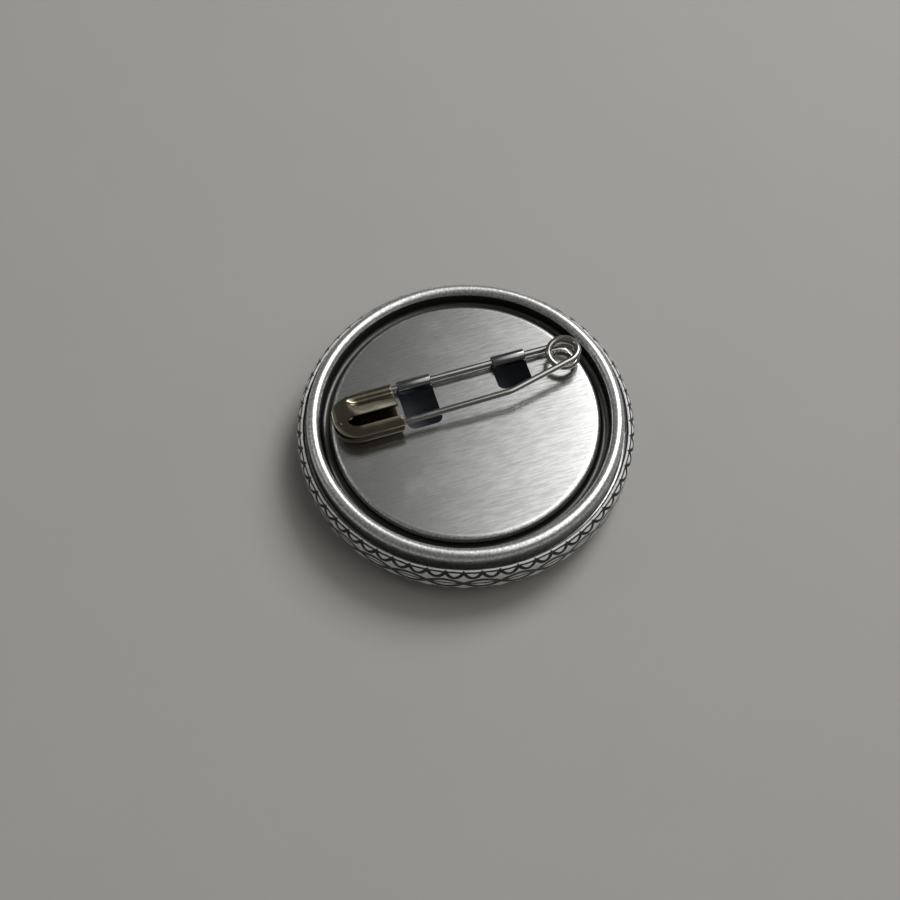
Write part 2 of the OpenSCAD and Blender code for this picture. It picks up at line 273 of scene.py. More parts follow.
def piece_from_grid(name, grid, closed=True, ends=False, uv=None):
    """A smooth mesh piece over a grid of points. uv is [per row, per column], one more column if closed."""
    rows, columns = grid.shape[:2]
    i, j = np.meshgrid(np.arange(rows - 1), np.arange(columns if closed else columns - 1), indexing="ij")
    row = np.stack([i, i, i + 1, i + 1], -1).reshape(-1, 4)
    column = np.stack([j, j + 1, j + 1, j], -1).reshape(-1, 4)
    faces = (row * columns + column % columns).tolist()
    if ends:
        faces.append(list(range(columns))[::-1])
        faces.append(list(range((rows - 1) * columns, rows * columns)))
    mesh = bpy.data.meshes.new(name)
    mesh.from_pydata(grid.reshape(-1, 3).tolist(), [], faces)
    if uv is not None:
        corners = np.zeros((len(mesh.loops), 2), np.float32)
        corners[: row.size] = np.stack([uv[1][column.ravel()], uv[0][row.ravel()]], -1)
        mesh.uv_layers.new(name="UVMap").data.foreach_set("uv", corners.ravel())
    weld(mesh)
    mesh.shade_smooth()
    piece = bpy.data.objects.new(name, mesh)
    bpy.context.scene.collection.objects.link(piece)
    return piece


def weld(mesh):
    """Closes seams and poles by joining points that lie on each other."""
    work = bmesh.new()
    work.from_mesh(mesh)
    bmesh.ops.remove_doubles(work, verts=work.verts, dist=MERGE)
    work.to_mesh(mesh)
    work.free()
    mesh.update()


def settle(piece, sharp=math.pi):
    """Makes a piece's modifiers part of its mesh, and keeps edges sharper than an angle crisp."""
    graph = bpy.context.evaluated_depsgraph_get()
    done = bpy.data.meshes.new_from_object(piece.evaluated_get(graph))
    rough = piece.data
    piece.modifiers.clear()
    piece.data = done
    bpy.data.meshes.remove(rough)
    done.name = piece.name
    done.shade_smooth()
    done.set_sharp_from_angle(angle=sharp)


def finish_piece(piece, material, body, slot, *nodes):
    """Gives a piece its material and its body, and hides the nodes that it stands for. The slot is not used.
    """
    piece.data.materials.clear()
    piece.data.materials.append(material)
    if body is not None:
        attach(piece, body)
    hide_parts(*nodes)


# Shape of the wrap

def wrap_arcs(wrap):
    """Middles of the arcs of the wall's profile, as [radius, height], and where the dome ends."""
    dome_c = np.array([wrap.flat_r, wrap.dome_r])
    dome_end = -math.acos((wrap.badge_r - wrap.shoulder_r - wrap.flat_r) / (wrap.dome_r - wrap.shoulder_r))
    shoulder_c = dome_c + (wrap.dome_r - wrap.shoulder_r) * heading(dome_end)
    curl_c = np.array([wrap.badge_r - wrap.curl_r, wrap.curl_z])
    fold_o = wrap.film_t + wrap.paper_t + wrap.shell_t / 2 + 2 * wrap.layer_gap
    fold_c = curl_c + (wrap.curl_r - fold_o) * heading(wrap.curl_a)
    return dome_c, dome_end, shoulder_c, curl_c, fold_o, fold_c


def wrapped_line(wrap, depth):
    """The wrap's profile at a depth in it: flat, dome, shoulder, wall, curl, fold and tuck."""
    dome_c, dome_end, shoulder_c, curl_c, fold_o, fold_c = wrap_arcs(wrap)
    return chain(
        line((0, depth), (wrap.flat_r, depth), 14),
        arc(dome_c, wrap.dome_r - depth, -math.pi / 2, dome_end, 16),
        arc(shoulder_c, wrap.shoulder_r - depth, dome_end, 0, 18),
        line((wrap.badge_r - depth, shoulder_c[1]), (wrap.badge_r - depth, wrap.curl_z), 6),
        arc(curl_c, wrap.curl_r - depth, 0, wrap.curl_a, 14),
        arc(fold_c, fold_o - depth, wrap.curl_a, wrap.curl_a + math.pi, 14),
        arc(curl_c, wrap.curl_r - 2 * fold_o + depth, wrap.curl_a, wrap.curl_a - wrap.tuck_a, 8),
    )


def pucker(wrap, grid):
    """Pushes the gathered stretch of a wrap out from the curl's middle, by a sum of waves round the badge."""
    curl_c = wrap_arcs(wrap)[3]
    radius = np.linalg.norm(grid[..., :2], axis=-1)
    around = np.arctan2(grid[..., 1], grid[..., 0])
    off = np.stack([radius - curl_c[0], grid[..., 2] - curl_c[1]], -1)
    reach = np.linalg.norm(off, axis=-1) + MERGE
    upper = (off[..., 1] > 0) * (radius > curl_c[0] - wrap.curl_r)
    gathered = smooth(np.arctan2(off[..., 1], off[..., 0]) / wrap.curl_a) * upper
    draw = np.random.default_rng(PUCKER_SEED)
    counts = draw.integers(*PUCKER_COUNTS, PUCKER_WAVES)
    phases = draw.uniform(0, TURN, PUCKER_WAVES)
    waves = np.sin(around[..., None] * counts + phases).sum(-1) / PUCKER_WAVES
    push = wrap.pucker * gathered * np.clip(waves, 0, 1) * 2
    way = off / reach[..., None]
    out = grid[..., :2] / (radius[..., None] + MERGE)
    moved = grid.copy()
    moved[..., :2] += (push * way[..., 0])[..., None] * out
    moved[..., 2] += push * way[..., 1]
    return moved


def wrapped_piece(name, wrap, depth, sheet):
    """A sheet of the wrap: its outer profile and back along its inner one, turned and puckered.

    UV is the turn and the length along the profile.
    """
    outer = wrapped_line(wrap, depth)
    inner = wrapped_line(wrap, depth + sheet)
    far = along(outer)
    loop = np.concatenate([outer, inner[::-1]])
    uv = (np.concatenate([far, far[::-1]]), np.linspace(0, 1, WRAP_STEPS + 1))
    return piece_from_grid(name, pucker(wrap, revolve(loop, WRAP_STEPS)), uv=uv)


# Shape of the back plate

def plate_places(plate, wrap):
    """Heights of the disc, then places on the sheet's middle worked in from the wrap, as [radius, height]."""
    fold_o, fold_c = wrap_arcs(wrap)[4:]
    top = plate.badge_h - plate.drop
    half = plate.sheet / 2
    mid = top - half
    bead = np.array([fold_c[0] - fold_o - plate.lip_gap - half, plate.badge_h - half]) - plate.bead_r
    moat = np.array([bead[0] - plate.bead_r - plate.moat_r, mid - plate.edge_r - plate.moat_drop])
    disc_r = moat[0] - plate.moat_r - plate.edge_r
    low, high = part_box("back_plate")
    flange = np.array([bead[0] + plate.bead_r + plate.flange_r, low.z + plate.flange_r + half])
    return top, mid, disc_r, moat, bead, flange, high.x


def plate_line(plate, wrap, up):
    """The plate's profile at a height over the sheet's middle: disc, edge, moat, bead and flange."""
    mid, disc_r, moat, bead, flange, end = plate_places(plate, wrap)[1:]
    return chain(
        line((0, mid + up), (disc_r - plate.edge_r, mid + up), 8),
        line((disc_r - plate.edge_r, mid + up), (disc_r, mid + up), 2),
        arc((disc_r, mid - plate.edge_r), plate.edge_r + up, math.pi / 2, 0, 14),
        line((moat[0] - plate.moat_r + up, mid - plate.edge_r), (moat[0] - plate.moat_r + up, moat[1])),
        arc(moat, plate.moat_r - up, math.pi, TURN, 22),
        line((bead[0] - plate.bead_r - up, moat[1]), (bead[0] - plate.bead_r - up, bead[1]), 3),
        arc(bead, plate.bead_r + up, math.pi, 0, 28),
        line((bead[0] + plate.bead_r + up, bead[1]), (flange[0] - plate.flange_r + up, flange[1]), 3),
        arc(flange, plate.flange_r - up, math.pi, 1.5 * math.pi, 6),
        line((flange[0], flange[1] - plate.flange_r + up), (end, flange[1] - plate.flange_r + up), 2),
    )


def window_cutter(name, plate, x, near, far, top):
    """A block of a window's outline, round at the near corners, that flares at both faces for worn edges."""
    edge, bottom = plate.cut_edge, top - plate.sheet
    levels = ((bottom - edge, 2 * edge), (bottom + edge, 0.0), (top - edge, 0.0), (top + edge, 2 * edge))
    side = plate.claw_w / 2 + plate.relief - plate.window_r
    rows = []
    for z, grow in levels:
        corner = plate.window_r + grow
        outline = chain(
            line((x + side + corner, far), (x - side - corner, far)),
            arc((x - side, near + plate.window_r), corner, math.pi, 1.5 * math.pi, 10),
            arc((x + side, near + plate.window_r), corner, 1.5 * math.pi, TURN, 10),
        )
        rows.append(np.column_stack([outline, np.full(len(outline), z)]))
    return piece_from_grid(name, np.array(rows), ends=True)


def rounded_section(half_w, half_t, corner):
    """Round-cornered oblongs of half widths and half thicknesses: offsets across and through the sheet."""
    a = np.concatenate([np.linspace(0, math.pi / 2, 5) + k * math.pi / 2 for k in range(4)])
    sign_w = np.repeat([1, -1, -1, 1], 5)
    sign_t = np.repeat([1, 1, -1, -1], 5)
    r = np.minimum(corner, np.minimum(half_w, half_t))[:, None]
    across = sign_w * (half_w[:, None] - r) + r * np.cos(a)
    through = sign_t * (half_t[:, None] - r) + r * np.sin(a)
    return across, through


def claw_grid(plate, wrap, x):
    """A claw: an oblong of the sheet, carried from its root in the plate over the leg and down to its tip."""
    wire = HeldLeg()
    top, mid = plate_places(plate, wrap)[:2]
    half = plate.sheet / 2
    inside = wire.r + plate.claw_gap
    radius = inside + half
    root = wire.y + inside + plate.sheet + plate.claw_bend
    middle = plate.claw_bend + half
    sunk = 0.1 * plate.sheet
    tip = wire.z - plate.claw_tip + plate.claw_tip_r * (1 - np.sin(np.linspace(0, math.pi / 2, 15)))
    path = chain(
        line((root + plate.sheet, mid - sunk), (root, mid)),
        arc((root, top + plate.claw_bend), middle, 1.5 * math.pi, math.pi, 8),
        line((wire.y + radius, top + plate.claw_bend), (wire.y + radius, wire.z), 4),
        arc((wire.y, wire.z), radius, 0, math.pi, 24),
        line((wire.y - radius, wire.z), (wire.y - radius, tip[0]), 2),
        np.column_stack([wire.y - radius + 0 * tip, tip]),
    )
    way = unit(np.gradient(path, axis=0))
    out = np.column_stack([way[:, 1], -way[:, 0]])
    left = along(path)[-1] - along(path)
    inset = np.clip(plate.claw_tip_r - left, 0, plate.claw_tip_r)
    half_w = plate.claw_w / 2 - plate.claw_tip_r + np.sqrt(plate.claw_tip_r**2 - inset**2)
    thin = np.clip(1 - left / half, 0, 1)
    half_t = half * np.sqrt(np.clip(1 - thin**2, 0.02, 1))
    across, through = rounded_section(half_w, half_t, plate.sheet * 0.4)
    return np.stack([
        x + across,
        path[:, :1] + through * out[:, :1],
        path[:, 1:] + through * out[:, 1:],
    ], -1)


# Shape of the pin

class HeldLeg:
    """Middle line, radius and free end of the held leg, from the frame."""

    def __init__(self):
        low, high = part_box("pin_leg")
        self.y, self.z = (low.yz + high.yz) / 2
        self.r = (high.z - low.z) / 2
        self.end = low.x


def hinge_point():
    """Place of the arm's hinge."""
    return np.array(next(joint["pos_m"] for joint in frame["joints"] if joint["name"] == "arm_open"))


def coil_middle(pin):
    """Middle of the coil, in plan."""
    wire = HeldLeg()
    return np.array([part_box("pin_coil")[1].x - pin.coil_r - wire.r, wire.y - pin.coil_r])


def wire_path(pin):
    """The held leg, then the coil: a circle of one and a half turns less the splay that rises smoothly.

    A last short step along the arm squares the coil's end to it.
    """
    wire = HeldLeg()
    rise = hinge_point()[2] - wire.z
    middle = coil_middle(pin)
    total = 1.5 * TURN - pin.splay
    a = np.linspace(0, total, 150)
    plan = middle + pin.coil_r * heading(math.pi / 2 - a)
    coil = np.column_stack([plan, wire.z + rise * smooth(a / total)])
    leg = line((wire.end + wire.r, wire.y, wire.z), (middle[0], wire.y, wire.z), 39)
    level = coil[-1] - 0.005 * MM * np.append(heading(pin.splay), 0)
    return chain(leg, coil, level[None])


def arm_path(pin):
    """The arm from the coil's end: straight at the splay, a bend, then straight on, falling to the cap."""
    hinge = hinge_point()
    start = coil_middle(pin) + pin.coil_r * heading(pin.splay - math.pi / 2)
    side = hinge[1] - pin.arm_y
    run = (side - pin.arm_bend * (1 - math.cos(pin.splay))) / math.sin(pin.splay)
    bend = -run * heading(pin.splay)
    bend_c = bend + pin.arm_bend * heading(pin.splay + math.pi / 2)
    tip = (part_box("pin_arm")[0].x - hinge[0]) / math.cos(pin.fall)
    flat = chain(
        line((0, 0), bend, 24),
        arc(bend_c, pin.arm_bend, 1.5 * math.pi + pin.splay, 1.5 * math.pi, 16),
        line((bend[0] - pin.arm_bend * math.sin(pin.splay), -side), (tip, -side), 80),
    )
    fallen = np.column_stack([flat[:, 0] * math.cos(pin.fall), flat[:, 1], flat[:, 0] * math.sin(pin.fall)])
    return chain(line((*start, hinge[2]), hinge, 10), hinge + fallen)


def rounded_start(path, radius):
    """Puts a round end before a path: circles of growing radius, set back as on a ball."""
    way = unit(path[1] - path[0])
    a = np.linspace(0.03, math.pi / 2, 7, endpoint=False)
    ball = path[0] - radius * np.cos(a)[:, None] * way
    return np.concatenate([ball, path]), np.concatenate([radius * np.sin(a), np.full(len(path), radius)])


def tube_piece(name, path, radii):
    """A closed tube with crisp rims: a circle of a radius round each point of a path, square to the path.

    UV is the length along it and the turn round it.
    """
    way = unit(np.gradient(path, axis=0))
    side = unit(np.cross((0.0, 0.0, 1.0), way))
    up = np.cross(way, side)
    a = np.linspace(0, TURN, WIRE_SIDES, endpoint=False)[None, :, None]
    ring = np.cos(a) * side[:, None] + np.sin(a) * up[:, None]
    uv = (along(path) / MM, np.linspace(0, 1, WIRE_SIDES + 1))
    piece = piece_from_grid(name, path[:, None] + radii[:, None, None] * ring, ends=True, uv=uv)
    piece.data.set_sharp_from_angle(angle=math.radians(60))
    return piece


def cap_frame(pin):
    """The cap's tilt, the reach from leg to arm in it, the gap of its lobes and the leg's lobe's radius."""
    wire = HeldLeg()
    hinge = hinge_point()
    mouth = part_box("pin_cap")[1].x
    across = wire.y - pin.arm_y
    rise = hinge[2] - wire.z - (hinge[0] - mouth) * math.tan(pin.fall)
    reach = math.hypot(rise, across)
    return math.atan2(rise, across), reach, reach - pin.lobe_shift, wire.r + pin.cap_gap + pin.cap_t


def cap_outline(pin, gap, leg_r, lip=None):
    """Closed section of the cap: two circles and their outer tangents, from the leg's top round by its side.

    With a lip, the top falls straight from there into a hollow round that meets the leg's circle.
    """
    up = math.pi / 2 - math.asin((pin.lobe_r - leg_r) / gap)
    leg_top = leg_r * heading(up)
    arm_top = pin.lobe_r * heading(up) - (gap, 0)
    top = line(arm_top, leg_top, 80)
    if lip is not None:
        start = np.array([lip, np.interp(lip, top[:, 0], top[:, 1])])
        way = unit(np.array([-leg_r - pin.valley_r, 0.4 * leg_r]) - start)
        rise = np.array([-way[1], way[0]])
        lift = start + pin.valley_r * rise
        reach = math.sqrt((lift @ way) ** 2 - lift @ lift + (leg_r + pin.valley_r) ** 2)
        centre = lift - (lift @ way + reach) * way
        down = math.atan2(-rise[1], -rise[0])
        touch = math.atan2(centre[1], centre[0])
        top = chain(
            line(arm_top, start, 20),
            line(start, centre - pin.valley_r * rise, 50),
            arc(centre, pin.valley_r, down, touch - math.pi, 16),
            arc((0, 0), leg_r, touch, up, 24),
        )
    return chain(
        arc((0, 0), leg_r, up, -up, 60),
        line(leg_top * (1, -1), arm_top * (1, -1), 80),
        arc((-gap, 0), pin.lobe_r, TURN - up, up, 160),
        top,
    )


def slotted(outline, slot, share):
    """A section from one edge of the slot round to the other, where a share of the slot is open."""
    far = along(outline)
    top = outline[:, 0].argmin()
    edges = np.interp(slot, outline[top:, 0], far[top:])
    half = (edges[1] - edges[0]) / 2 * share
    place = edges.mean() + half + (far[-1] - 2 * half) * np.linspace(0, 1, CAP_COLUMNS)
    return np.stack([np.interp(place, far, outline[:, k], period=far[-1]) for k in range(2)])


def rounded_off(away, radius):
    """How far a corner of a radius has drawn in at a distance from its end, by a quarter circle."""
    inset = np.clip(radius - away, 0, radius)
    return radius - np.sqrt(radius**2 - inset**2)


def cap_grid(pin):
    """The cap's outside: its section carried from the mouth to the nose, drawn in there by quarter circles.

    The section is open at the slot. The opening closes at the slot's end as half an ellipse.
    """
    nose, mouth = (corner.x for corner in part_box("pin_cap"))
    wire = HeldLeg()
    tilt, reach, gap, leg_r = cap_frame(pin)
    slot_out = -reach - pin.slot_past
    slot = slot_out, slot_out + pin.slot_w
    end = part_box("pin_arm")[0].x - pin.slot_end
    x = np.concatenate([
        np.linspace(mouth, end + pin.slot_r, 22, endpoint=False),
        end + pin.slot_r * np.cos(np.linspace(0, math.pi / 2, 16)),
        nose + (end - nose) * (1 - np.sin(np.linspace(0, math.pi / 2, 17)[1:])),
    ])
    closing = np.linspace(1, 0, 7)[1:]
    shrink = np.concatenate([np.ones(len(x)), closing])[:, None]
    x = np.concatenate([x, np.full(len(closing), nose)])
    shut = np.clip(1 - (x - end) / pin.slot_r, 0, 1)
    share = np.sqrt(1 - shut**2)[:, None]
    flat = slotted(cap_outline(pin, gap, leg_r), slot, share)
    dipped = slotted(cap_outline(pin, gap, leg_r, slot[1]), slot, share)
    y, z = flat + (dipped - flat) * smooth((x - end) / pin.valley_l)[:, None]
    away = (x - nose)[:, None]
    y_arm = -gap - pin.lobe_r
    leg_side = leg_r - rounded_off(away, pin.nose_leg_r)
    arm_side = y_arm + rounded_off(away, pin.nose_arm_r)
    y = arm_side + (y - y_arm) / (leg_r - y_arm) * (leg_side - arm_side)
    z = z * (1 - rounded_off(away, pin.nose_side_r) / pin.lobe_r)
    centre = (leg_side + arm_side) / 2
    y = centre + (y - centre) * shrink
    z = z * shrink
    return np.stack([
        x[:, None] + 0 * y,
        wire.y + y * math.cos(tilt) + z * math.sin(tilt),
        wire.z - y * math.sin(tilt) + z * math.cos(tilt),
    ], -1)


# Shaders

class Sketch:
    """Lays nodes into one tree and links them."""

    def __init__(self, tree):
        self.tree = tree
        tree.nodes.clear()

    def fill(self, sockets, values):
        """Sets sockets, which are named or counted, or links them to another one's value."""
        for key, value in values.items():
            if isinstance(value, bpy.types.NodeSocket):
                self.tree.links.new(value, sockets[key])
            else:
                sockets[key].default_value = value

    def add(self, kind, inputs=None, **settings):
        """A node with its settings and its inputs."""
        node = self.tree.nodes.new(kind)
        for key, value in settings.items():
            setattr(node, key, value)
        self.fill(node.inputs, inputs or {})
        return node

    def math(self, operation, a, b=0.0):
        """One operation on one or two values."""
        return self.add("ShaderNodeMath", {0: a, 1: b}, operation=operation).outputs[0]

    def plus(self, a, b):
        """One value and another."""
        return self.math("ADD", a, b)

    def less(self, a, b):
        """One value less another."""
        return self.math("SUBTRACT", a, b)

    def times(self, a, b):
        """One value times another."""
        return self.math("MULTIPLY", a, b)

    def ramp(self, value, low, high, start=0.0, stop=1.0):
        """A smooth step of a value from low to high."""
        inputs = {"Value": value, "From Min": low, "From Max": high, "To Min": start, "To Max": stop}
        return self.add("ShaderNodeMapRange", inputs, interpolation_type="SMOOTHSTEP").outputs[0]

    def blend(self, share, a, b):
        """A mix of two colours."""
        return self.add("ShaderNodeMix", {0: share, 6: a, 7: b}, data_type="RGBA").outputs[2]

    def noise(self, vector, scale, detail=3.0, roughness=0.55):
        """Soft noise from 0 to 1."""
        inputs = {"Vector": vector, "Scale": scale, "Detail": detail, "Roughness": roughness}
        return self.add("ShaderNodeTexNoise", inputs).outputs["Fac"]

    def bump(self, height, distance):
        """A normal from a height."""
        return self.add("ShaderNodeBump", {"Height": height, "Distance": distance}).outputs[0]

    def group(self, make, **inputs):
        """A shared effect, made at its first use, with its own values."""
        tree = bpy.data.node_groups.get(make.__name__) or make(make.__name__)
        return self.add("ShaderNodeGroup", inputs, node_tree=tree).outputs


def new_group(name, inputs, outputs):
    """An empty shader group that takes a vector and values, as its sketch and the sockets at its two ends."""
    tree = bpy.data.node_groups.new(name, "ShaderNodeTree")
    tree.interface.new_socket("Vector", in_out="INPUT", socket_type="NodeSocketVector")
    for side, labels in (("INPUT", inputs), ("OUTPUT", outputs)):
        for label in labels:
            tree.interface.new_socket(label, in_out=side, socket_type="NodeSocketFloat")
    sketch = Sketch(tree)
    return sketch, sketch.add("NodeGroupInput").outputs, sketch.add("NodeGroupOutput").inputs


def drawn_grain(name):
    """Lines that rolling or drawing leaves: noise stretched along the first axis, coarse and fine."""
    sketch, given, result = new_group(name, ("Along", "Across"), ("Shade", "Height"))
    scales = {0: given["Along"], 1: given["Across"], 2: given["Across"]}
    stretch = {0: given["Vector"], 1: sketch.add("ShaderNodeCombineXYZ", scales).outputs[0]}
    stretched = sketch.add("ShaderNodeVectorMath", stretch, operation="MULTIPLY").outputs[0]
    coarse = sketch.noise(stretched, 0.45, 2.0)
    fine = sketch.noise(stretched, 1.3, 3.0)
    sketch.fill(result, {
        "Shade": sketch.ramp(coarse, 0.32, 0.68),
        "Height": sketch.plus(coarse, sketch.times(fine, 0.3)),
    })
    return sketch.tree


def handling_marks(name):
    """Smudges and a few hairline scratches, as masks."""
    sketch, given, result = new_group(name, ("Size",), ("Smudge", "Scratch"))
    place = given["Vector"]
    turn = {"Vector": place, "Rotation": (0.0, 0.0, 0.6), "Scale": (70.0, 900.0, 900.0)}
    long_cells = {"Vector": sketch.add("ShaderNodeMapping", turn).outputs[0], "Scale": 1.0}
    cells = sketch.add("ShaderNodeTexVoronoi", long_cells, feature="DISTANCE_TO_EDGE").outputs["Distance"]
    hair = sketch.ramp(cells, 0.0, 0.022, 1.0, 0.0)
    some = sketch.ramp(sketch.noise(place, 420.0, 1.0), 0.56, 0.66)
    sketch.fill(result, {
        "Smudge": sketch.ramp(sketch.noise(place, given["Size"], 5.0, 0.6), 0.45, 0.72),
        "Scratch": sketch.times(hair, some),
    })
    return sketch.tree


def new_material(name):
    """A material with a Principled shader, as itself, its sketch, its shader's inputs and its coordinates."""
    material = bpy.data.materials.new(name)
    material.use_nodes = True
    sketch = Sketch(material.node_tree)
    shader = sketch.add("ShaderNodeBsdfPrincipled")
    sketch.add("ShaderNodeOutputMaterial", {"Surface": shader.outputs[0]})
    return material, sketch, shader.inputs, sketch.add("ShaderNodeTexCoord").outputs


def shade(value, factor=1.0):
    """A colour made lighter or darker."""
    return tuple(min(1.0, v * factor) for v in value) + (1.0,)


def tinplate_material(finish, plate, wrap):
    """Tinplate: brushed disc, satin bead painted lighter than the disc, painted shade on the claws, and
    painted shade in the moat and up the bead's inside.
    """
    top, _, disc_r, moat, bead = plate_places(plate, wrap)[:5]
    material, sketch, shader, given = new_material("Tinplate")
    plus, less, times, ramp, blend = sketch.plus, sketch.less, sketch.times, sketch.ramp, sketch.blend
    place = given["Object"]
    split = sketch.add("ShaderNodeSeparateXYZ", {0: place}).outputs
    plan = sketch.add("ShaderNodeCombineXYZ", {0: split["X"], 1: split["Y"]}).outputs[0]
    radius = sketch.add("ShaderNodeVectorMath", {0: plan}, operation="LENGTH").outputs["Value"]
    level = split["Z"]
    rim = ramp(radius, disc_r - 0.1 * MM, disc_r + 0.25 * MM)
    brushed = less(1.0, rim)
    climb = ramp(radius, moat[0] - 0.1 * MM, moat[0] + 0.2 * MM, 0.0, 1.0 * MM)
    in_moat = ramp(radius, disc_r - 0.2 * MM, disc_r + 0.1 * MM)
    inside_bead = ramp(radius, bead[0] + 0.2 * MM, bead[0], 0.3, 1.0)
    # Painted shade: the moat goes near black, and the darkening reaches higher up the bead's inner side.
    recess_shade = ramp(less(level, climb), top - 0.4 * MM, top - 0.75 * MM)
    recess_shade = times(times(recess_shade, in_moat), inside_bead)
    # Painted shade: raised parts inside the disc, which are the claws, are darkened.
    raised_shade = times(ramp(level, top + 0.05 * MM, top + 0.4 * MM), brushed)
    grain = sketch.group(drawn_grain, Vector=place, Along=1500.0, Across=14500.0)
    marks = sketch.group(handling_marks, Vector=place, Size=300.0)
    satin = sketch.noise(place, 4200.0, 3.0, 0.7)
    streak = times(grain["Shade"], brushed)
    tone = blend(streak, shade(finish.tin, 1.08), shade(finish.tin, 0.70))
    # The bead's speckle is random satin tone, and its lighter tone than the disc is painted light.
    speckle_and_painted_light = blend(ramp(satin, 0.36, 0.64), shade(finish.tin, 1.35), shade(finish.tin, 0.8))
    tone = blend(rim, tone, speckle_and_painted_light)
    # Painted shade on the claws.
    tone = blend(times(raised_shade, 0.85), tone, shade(finish.tin, 0.32))
    tone = blend(times(marks["Scratch"], 0.5), tone, shade(finish.tin, 1.2))
    rough = plus(plus(times(streak, 0.06), 0.15), times(marks["Smudge"], 0.03))
    satin_rough = times(rim, plus(times(satin, 0.2), 0.1))
    relief = plus(times(grain["Height"], brushed), times(satin, times(rim, 3.0)))
    sketch.fill(shader, {
        # Painted shade in the moat and up the bead's inner side.
        "Base Color": blend(times(recess_shade, 0.96), tone, shade(finish.tarnish)),
        "Metallic": 1.0,
        "Roughness": plus(rough, satin_rough),
        "Normal": sketch.bump(relief, 0.005 * MM),
    })
    return material


def plated_material(name, base, source, along_scale, across_scale, roughness, metallic=1.0):
    """Plated metal: faint drawn lines, smudges that dull it and hairline scratches."""
    material, sketch, shader, given = new_material(name)
    plus, times, blend = sketch.plus, sketch.times, sketch.blend
    grain = sketch.group(drawn_grain, Vector=given[source], Along=along_scale, Across=across_scale)
    marks = sketch.group(handling_marks, Vector=given["Object"], Size=520.0)
    tone = blend(grain["Shade"], shade(base), shade(base, 0.86))
    rough = plus(times(marks["Smudge"], 0.12), roughness)
    sketch.fill(shader, {
        "Base Color": blend(times(marks["Scratch"], 0.5), tone, shade(base, 1.25)),
        "Metallic": metallic,
        "Roughness": plus(rough, times(grain["Shade"], 0.05)),
        "Normal": sketch.bump(grain["Height"], 0.0012 * MM),
    })
    return material


def wire_material(finish):
    """The plated wire's material, made once."""
    name = "Pin wire"
    return bpy.data.materials.get(name) or plated_material(name, finish.wire, "UV", 0.25, 14.0, 0.15)


def print_material(finish, wrap):
    """White print under gloss, in black lines: leaves and arches round the wall, a rosette on the front.

    Places are millimetres along the print from its middle. A form is the distance past its edge.
    """
    material, sketch, shader, given = new_material("Printed paper")
    do, plus, less, times = sketch.math, sketch.plus, sketch.less, sketch.times
    split = sketch.add("ShaderNodeSeparateXYZ", {0: given["UV"]}).outputs
    turn = times(split["X"], TURN)
    wobble = times(less(sketch.noise(given["Object"], 900.0, 2.0), 0.5), 0.14)
    out = plus(times(split["Y"], 1 / MM), wobble)

    def wave(centre, radius, count, phase, height, half, arched=False):
        """A wave round the badge, or arches on a circle. Dividing by the slope's length keeps its width."""
        a = plus(times(turn, count), phase)
        swing = do("ABSOLUTE", do("SINE", a)) if arched else do("SINE", a)
        slope = times(do("COSINE", a), height * count / radius)
        rise = do("ABSOLUTE", less(less(out, centre), times(swing, height)))
        return less(do("DIVIDE", rise, do("SQRT", plus(times(slope, slope), 1.0))), half)

    def ring(centre, half):
        """A circle round the badge."""
        return less(do("ABSOLUTE", less(out, centre)), half)

    def dots(centre, count, half):
        """Evenly spaced dots round the front's middle."""
        across = times(do("COSINE", times(turn, count / 2)), 2 * centre / count)
        away = less(out, centre)
        return less(do("SQRT", plus(times(across, across), times(away, away))), half)

    run = wrapped_line(wrap, wrap.film_t + wrap.layer_gap)
    wall = np.argmin(np.abs(run - (wrap.badge_r - wrap.film_t, 0.8 * wrap.curl_z)).sum(1))
    middle = along(run)[wall] / MM
    wall_r = wrap.badge_r / MM
    petal = 7.2
    forms = [ring(middle, half=0.12)]
    for phase in (0.0, math.pi):
        forms += [
            wave(middle, wall_r, finish.waves, phase, height=0.72, half=0.23),
            wave(petal, petal, finish.petals, phase, height=2.2, half=0.14),
        ]
    for side in (-1, 1):
        foot = middle + 1.6 * side
        forms += [
            ring(foot, half=0.08),
            ring(foot + 0.4 * side, half=0.12),
            wave(foot, wall_r, 2 * finish.waves, 0.0, height=-0.55 * side, half=0.16, arched=True),
        ]
    forms += [ring(place, half=0.13) for place in (3.4, 11.2, 11.8)]
    forms += [dots(10.3, 2 * finish.petals, half=0.26), dots(2.0, finish.petals, half=0.22)]
    edge = forms[0]
    for form in forms[1:]:
        edge = do("MINIMUM", edge, form)
    ink = sketch.ramp(edge, -0.02, 0.02, 1.0, 0.0)
    fibre = sketch.noise(given["Object"], 2600.0, 4.0)
    white = sketch.blend(fibre, shade(finish.paper), shade(finish.paper, 0.95))
    black = sketch.blend(fibre, shade(finish.ink), shade(finish.ink, 2.2))
    sketch.fill(shader, {
        "Base Color": sketch.blend(ink, white, black),
        "Roughness": plus(times(fibre, 0.15), 0.42),
        "Specular IOR Level": 0.1,
        "Coat Weight": 0.6,
        "Coat Roughness": 0.05,
        "Coat IOR": 1.5,
        "Normal": sketch.bump(fibre, 0.0012 * MM),
    })
    return material


def film_material(finish):
    """Clear gloss film with faint ripples and handling marks."""
    material, sketch, shader, given = new_material("Clear film")
    marks = sketch.group(handling_marks, Vector=given["Object"], Size=180.0)
    sketch.fill(shader, {
        "Base Color": shade(finish.film),
        "Alpha": 0.03,
        "IOR": 1.5,
        "Roughness": sketch.plus(sketch.times(marks["Smudge"], 0.1), 0.04),
        "Normal": sketch.bump(sketch.noise(given["Object"], 320.0, 2.0), 0.004 * MM),
    })
    return material


